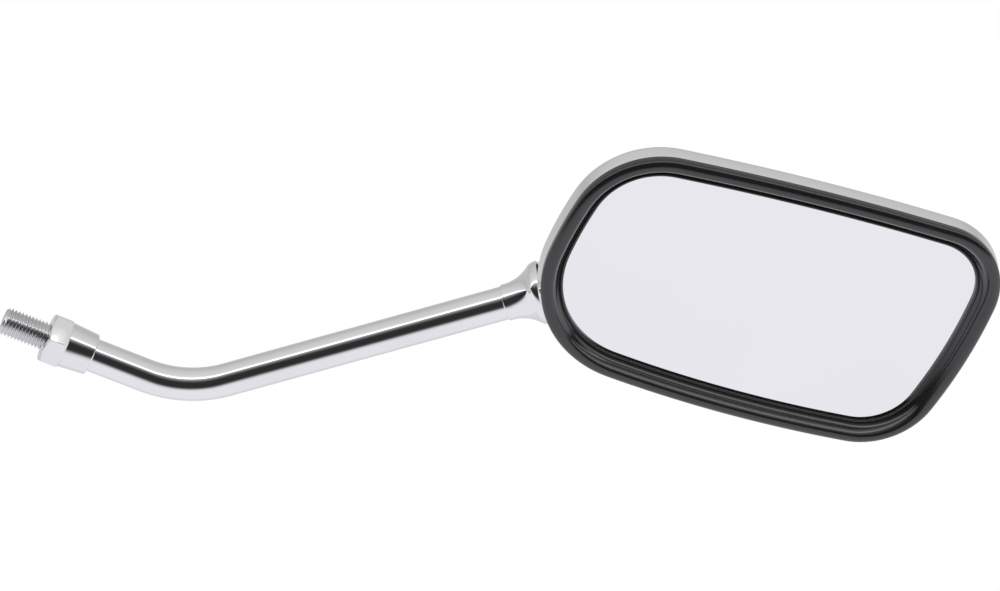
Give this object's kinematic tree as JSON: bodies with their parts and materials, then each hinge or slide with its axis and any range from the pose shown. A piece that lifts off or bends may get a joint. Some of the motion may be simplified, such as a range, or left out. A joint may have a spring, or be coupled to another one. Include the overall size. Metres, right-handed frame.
{
  "type": "motorcycle rear-view mirror",
  "caption": "Chromed rear-view mirror with a rounded oblong head, rubber bezel and friction ball joint on a bent tubular stem with a threaded mounting stud.",
  "frame": {"origin": "On the mounting stud's axis, at the lower face of the lock nut, where the clamped lever bracket ends", "axes": "+Z runs from the threaded tip up into the stem; the upper leg of the stem leans 45 degrees from +Z towards -X; the glass faces -Y"},
  "size_m": [0.2007, 0.0372, 0.3039],
  "materials": {
    "chrome_tube": "polished chrome plating",
    "chrome_shell": "polished chrome plating",
    "chrome_bell": "polished chrome plating",
    "chrome_nut": "polished chrome plating",
    "zinc_thread": "dull zinc plating",
    "zinc_plate": "zinc plating",
    "joint_steel": "ground steel",
    "screw_steel": "zinc plating",
    "seal_rubber": "matte",
    "bezel_rubber": "smooth satin",
    "seat_nylon": "natural nylon",
    "foam": "closed-cell foam",
    "mirror": "silvered glass"
  },
  "bodies": {
    "stem_assembly": {"stem": "chrome_tube", "mounting_stud": "zinc_thread", "ball_stud": "joint_steel", "neck_bell": "chrome_bell", "neck_seal": "seal_rubber"},
    "lock_nut": {"lock_nut": "chrome_nut"},
    "front_seat": {"ball_seat_front": "seat_nylon"},
    "rear_seat": {"ball_seat_rear": "seat_nylon"},
    "head": {"shell": "chrome_shell", "bezel": "bezel_rubber", "mirror_glass": "mirror", "glass_foam": "foam", "joint_bracket": "zinc_plate", "clamp_plate": "zinc_plate", "clamp_screw_1": "screw_steel", "clamp_screw_2": "screw_steel", "clamp_screw_3": "screw_steel", "clamp_washer_1": "screw_steel", "clamp_washer_2": "screw_steel", "clamp_washer_3": "screw_steel"}
  },
  "joints": [
    {"name": "lock_nut_turn", "type": "hinge", "parent": "stem_assembly", "child": "lock_nut", "pos_m": [0, 0, 0], "axis": [0, 0, 1], "continuous": true},
    {"name": "head_swivel", "type": "hinge", "parent": "stem_assembly", "child": "front_seat", "pos_m": [-0.10218, 0, 0.15518], "axis": [-0.7071, 0, 0.7071], "continuous": true},
    {"name": "head_tilt", "type": "hinge", "parent": "front_seat", "child": "rear_seat", "pos_m": [-0.10218, 0, 0.15518], "axis": [-0.7071, 0, -0.7071], "range_deg": [-9, 9]},
    {"name": "head_pan", "type": "hinge", "parent": "rear_seat", "child": "head", "pos_m": [-0.10218, 0, 0.15518], "axis": [0, -1, 0], "range_deg": [-9, 9]}
  ]
}
